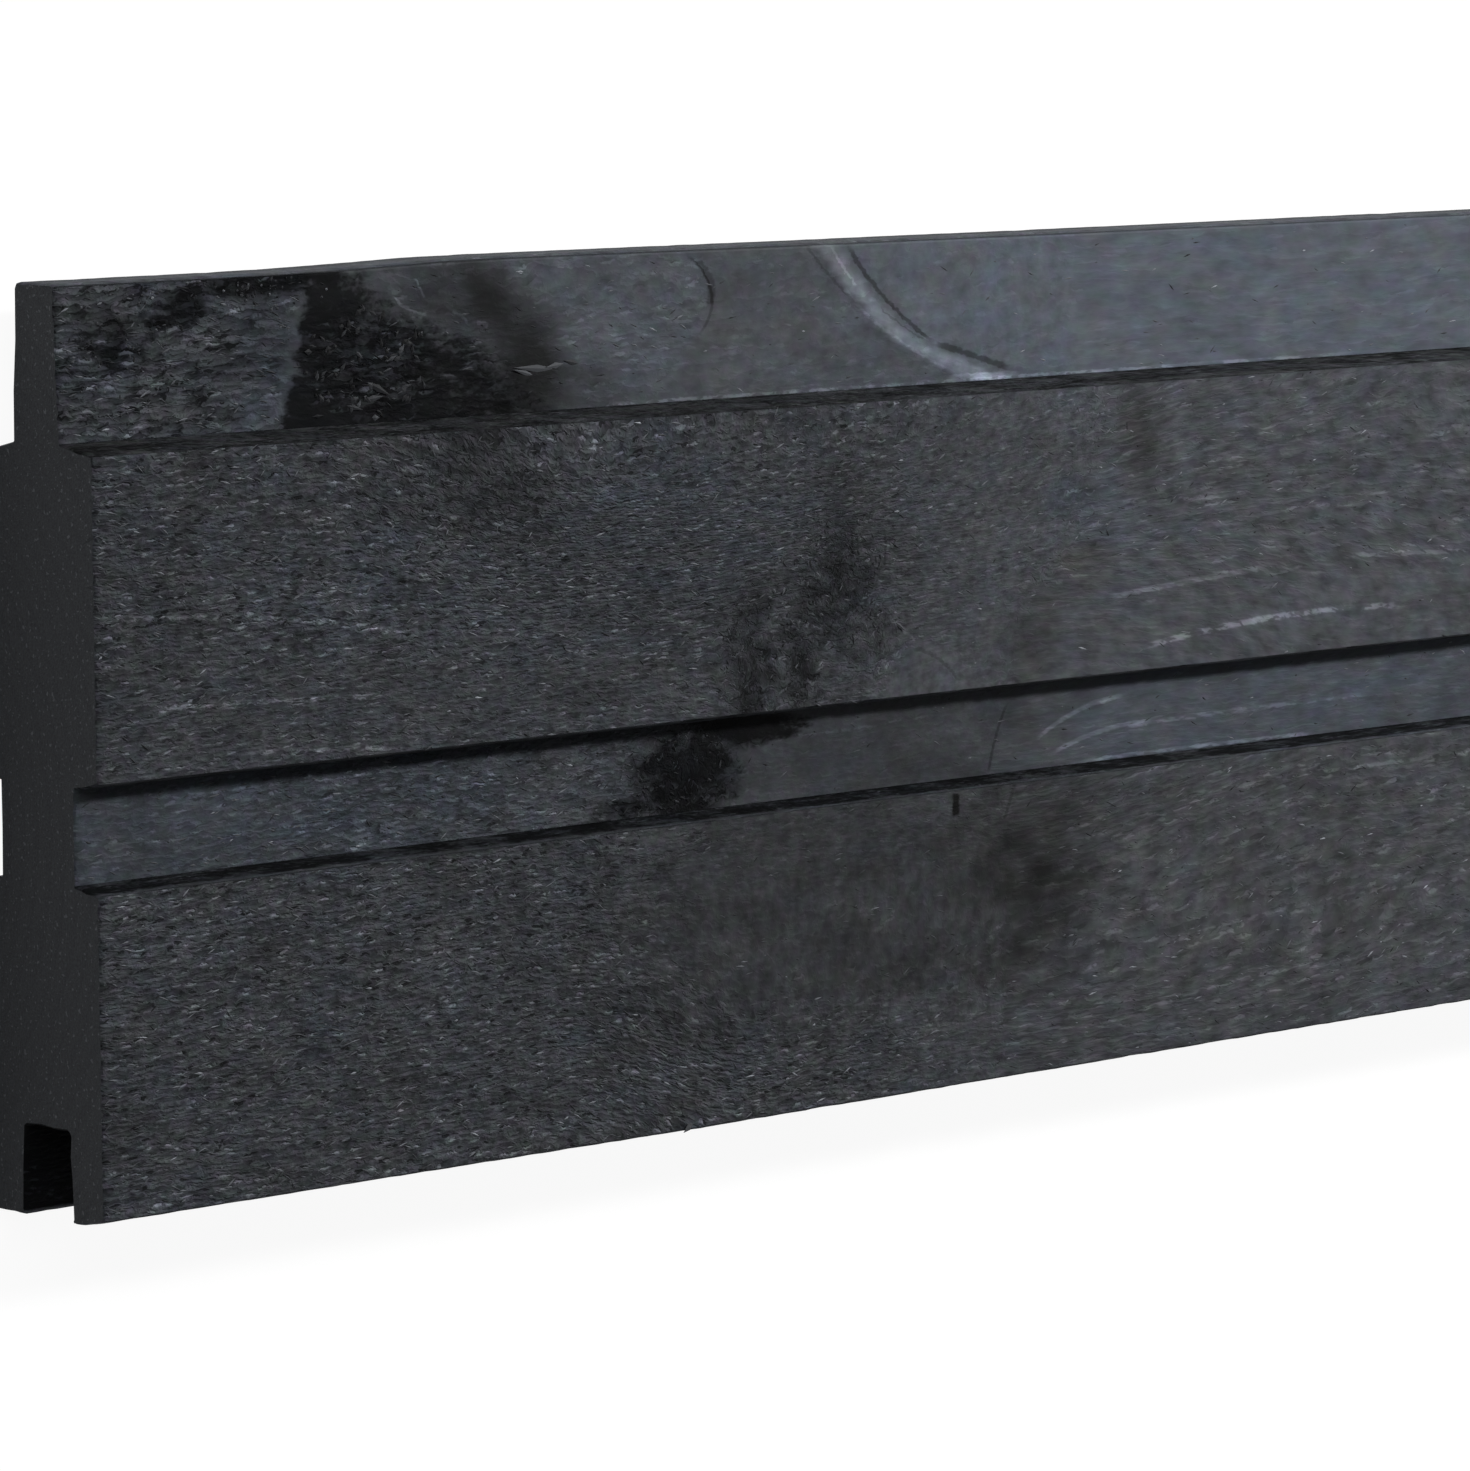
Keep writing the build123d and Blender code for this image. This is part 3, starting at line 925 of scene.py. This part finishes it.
def fibrePlaces(pick):                           # places by surface, thinned out where the face is smooth
    found = {surface: [] for surface in fibreSpans}
    for count, low, high in ((fibreLook["near"], 0.6, fibreLook["reach"]),
                             (fibreLook["far"], fibreLook["reach"], boardLength - 1)):
        for surface, (bottom, top) in fibreSpans.items():
            tries = int(count * (top - bottom) / 100)
            u, v = pick.uniform(low, high, tries), pick.uniform(bottom, top, tries)
            stain, torn = finishOf(surface, u, v)[:2]
            keep = pick.uniform(0, 1, tries) < torn * (1 - 0.8 * stain)
            found[surface].append(np.stack([u, v], 1)[keep])
    return {surface: np.concatenate(rows).T for surface, rows in found.items()}


def sliver(u, v, way, base, length, half, lift):        # a wedge along the grain, thickest in its middle
    centre = np.stack([u, v], 1)
    run = np.stack([np.cos(way), np.sin(way)], 1)
    side = np.stack([-run[:, 1], run[:, 0]], 1) * half[:, None]
    root, tip = centre - run * length[:, None] * 0.45, centre + run * length[:, None] * 0.55
    flank = base - 0.01 + lift * 0.3
    return np.stack([
        np.column_stack([root, base - fibreLook["sunk"]]),
        np.column_stack([centre - side, flank]),
        np.column_stack([centre + side, flank]),
        np.column_stack([centre, base + np.minimum(half * 0.7, fibreLook["thickest"]) + lift * 0.4]),
        np.column_stack([tip, base + lift])], 1)


def faceHeight(surface, u, v, heights):
    along, across = grainOf(surface, u, v)[:2]
    stain, torn = finishOf(surface, u, v)[:2]
    return np.interp(v, *heights[surface]) + reliefOf(surface, u, v, along, across, stain, torn)


def looseSlivers(pick, heights):                 # wedges, and for each the grain's place and a shade
    for surface, (u, v) in fibrePlaces(pick).items():
        count, near = len(u), 0.4
        along, across, curl = grainOf(surface, u, v)
        stain, torn, pale = finishOf(surface, u, v)[:3]
        slopeU = (grainOf(surface, u + near, v)[1] - grainOf(surface, u - near, v)[1]) / (2 * near)
        slopeV = (grainOf(surface, u, v + near)[1] - grainOf(surface, u, v - near)[1]) / (2 * near)
        way = np.arctan2(-slopeU, np.where(np.abs(slopeV) < 0.05, 0.05, slopeV))
        stray = fibreLook["stray"] + fibreLook["curlStray"] * curl
        way = way + np.radians(pick.normal(0, 1, count) * stray)
        way = np.where(pick.uniform(0, 1, count) < 0.5, way, way + math.pi)
        length = pick.uniform(*fibreLook["length"], count) * (1 - 0.5 * curl)
        half = pick.uniform(*fibreLook["width"], count) / 2
        lift = pick.uniform(*fibreLook["lift"], count) * torn
        base = faceHeight(surface, u, v, heights)
        shade = (1 + pale).clip(0.2) * (1 - 0.85 * stain) * np.exp(pick.normal(0.05, 0.5, count))
        yield sliver(u, v, way, base, length, half, lift), np.stack([along, across, shade], 1)


def tornFlecks(pick, heights):
    for surface, along, across, long, wide, count, longest, widest, bright, around in knotFlecks:
        reach, turn = np.sqrt(pick.uniform(0, 1, count)), pick.uniform(0, 2 * math.pi, count)
        u, v = along + long * reach * np.cos(turn), across + wide * reach * np.sin(turn)
        grouped = lumps(u / 4, v / 3, 82) > 0.05
        u, v, turn = u[grouped], v[grouped], turn[grouped]
        count = len(u)
        v = np.clip(v, heights[surface][0, 0] + 0.3, heights[surface][0, -1] - 0.3)
        if around:
            way = np.arctan2(wide * np.cos(turn), -long * np.sin(turn))
        else:
            way = pick.uniform(0, math.pi, count)
        way = way + np.radians(pick.normal(0, 40, count))
        length = pick.uniform(0.3, 1, count) * longest
        half = pick.uniform(0.35, 1, count) * widest / 2
        lift = pick.uniform(0.05, 0.25, count)
        shade = bright * np.exp(pick.normal(-0.3, 0.6, count))
        base = faceHeight(surface, u, v, heights)
        yield sliver(u, v, way, base, length, half, lift), np.stack([u * 3, v * 3, shade], 1)


def standingChips(heights):
    for surface, *sizes in boardChips:
        u, v, length, width, turn, lift, shade = (np.array([size]) for size in sizes)
        base = faceHeight(surface, u, v, heights)
        yield sliver(u, v, np.radians(turn), base, length, width / 2, lift), np.stack([u, v, shade], 1)


def makeFibres(material, heights):
    pick = np.random.default_rng(fibreLook["seed"])
    made = [*looseSlivers(pick, heights), *tornFlecks(pick, heights), *standingChips(heights)]
    places = np.concatenate([wedges for wedges, marks in made]).reshape(-1, 3)
    marks = np.concatenate([marks for wedges, marks in made])
    places[:, 0] = np.clip(places[:, 0], 0, boardLength)
    corners = np.array([(0, 2, 1), (0, 1, 3), (0, 3, 2), (4, 1, 2), (4, 3, 1), (4, 2, 3)])
    each = len(places) // len(marks)             # points of one wedge
    faces = (corners[None] + each * np.arange(len(marks))[:, None, None]).reshape(-1, 3)
    mesh = bpy.data.meshes.new("looseFibres")
    mesh.from_pydata(places * mm + np.array(boardLow), [], faces.tolist())
    keepOnPoints(mesh, "grain", "FLOAT_VECTOR", np.repeat(marks, each, 0))
    mesh.materials.append(material)
    mesh.update()
    print("loose fibres:", len(marks), "slivers,", len(faces), "triangles")
    return placed("looseFibres", mesh)


# Studio: pale floor, soft key from the far right, low fill
floorLook = {"size": 14.0, "colour": (0.86, 0.86, 0.86, 1), "lift": 0.93, "shade": (0.1, 0.1, 0.1, 1),
             "below": 0.0004}
lamps = {
    "key": {"aim": (-0.74, 0.0, 0.028), "from": (0.62, 0.37, 0.67), "away": 2.2, "wide": 0.2, "high": 0.26,
            "power": 51.0},
    "fill": {"aim": (-0.6, 0.0, 0.0), "from": (-0.55, 0.5, 0.67), "away": 2.8, "wide": 1.6, "high": 1.0,
             "power": 20.5},
}
worldLook = {"ambient": 0.07, "white": (1, 1, 1, 1)}


def seenDirectly(f):                             # 1 for camera, mirror and see-through rays
    camera = f.node("ShaderNodeLightPath", {}, {}, "Is Camera Ray")
    return camera.atLeast(camera.beside("Is Glossy Ray")).atLeast(camera.beside("Is Transmission Ray"))


def makeFloor():
    material, f = newFinish("paleFloor")
    plain = f.node("ShaderNodeBsdfDiffuse", {}, {"Color": floorLook["colour"]})
    lifted = f.node("ShaderNodeAddShader", {}, {
        0: f.node("ShaderNodeEmission", {}, {"Color": worldLook["white"], "Strength": floorLook["lift"]}),
        1: f.node("ShaderNodeBsdfDiffuse", {}, {"Color": floorLook["shade"]})})
    toOutput(f, f.node("ShaderNodeMixShader", {}, {0: seenDirectly(f), 1: plain, 2: lifted}))
    half = floorLook["size"] / 2
    corners = [(-half, -half, 0), (half, -half, 0), (half, half, 0), (-half, half, 0)]
    mesh = bpy.data.meshes.new("studioFloor")
    mesh.from_pydata(corners, [], [(0, 1, 2, 3)])
    mesh.materials.append(material)
    floor = placed("studioFloor", mesh)
    floor.location.z = boardLow.z - floorLook["below"]


def makeLights():
    for name, look in lamps.items():
        light = bpy.data.lights.new(name + "Lamp", "AREA")
        light.shape = "RECTANGLE"
        light.size, light.size_y, light.energy = look["wide"], look["high"], look["power"]
        lamp = placed(name + "Lamp", light)
        towards = Vector(look["from"]).normalized()
        lamp.location = Vector(look["aim"]) + towards * look["away"]
        lamp.rotation_euler = towards.to_track_quat("Z", "Y").to_euler()
        lamp.visible_camera = False
    world = bpy.data.worlds.new("studioWorld")
    world.use_nodes = True
    world.node_tree.nodes.clear()
    f = Finish(world.node_tree)
    ambient, white = (f.node("ShaderNodeBackground", {}, {"Color": worldLook["white"], "Strength": strength})
                      for strength in (worldLook["ambient"], 1.0))
    shown = f.node("ShaderNodeMixShader", {}, {0: seenDirectly(f), 1: ambient, 2: white})
    f.node("ShaderNodeOutputWorld", {}, {0: shown})
    bpy.context.scene.world = world
    bpy.context.scene.view_settings.view_transform = "Standard"


photoCamera = {"eye": (-1.5674, 0.1289, 0.8819), "aim": (-0.7670, -0.0069, 0.0280), "roll": -0.298,
               "focalPixels": 7145.6, "framePixels": 1471.0, "sensor": 36.0}


def makeCamera():
    eye, aim = Vector(photoCamera["eye"]), Vector(photoCamera["aim"])
    onward = (aim - eye).normalized()
    right = onward.cross(Vector((0, 1, 0))).normalized()
    up = right.cross(onward)
    c, s = math.cos(math.radians(photoCamera["roll"])), math.sin(math.radians(photoCamera["roll"]))
    right, up = right * c + up * s, up * c - right * s
    data = bpy.data.cameras.new("photoCamera")
    data.sensor_width = photoCamera["sensor"]
    data.lens = photoCamera["sensor"] * photoCamera["focalPixels"] / photoCamera["framePixels"]
    camera = placed("photoCamera", data)
    camera.matrix_world = Matrix.Translation(eye) @ Matrix((right, up, -onward)).transposed().to_4x4()
    bpy.context.scene.camera = camera


addFarWhorls()
makeCamera()
makeFloor()
makeLights()
print("camera and studio made")
fineSawn = stainedWood("fineSawnFace", sawnLook, sawnLines)
planed = stainedWood("planedFace", planedLook, planedLines)
board, heights = makeBoard([fineSawn, planed, endFinish()])
fibres = makeFibres(fibreFinish(), heights)
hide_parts(boardNode)
for piece in (board, fibres):
    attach(piece, "root")
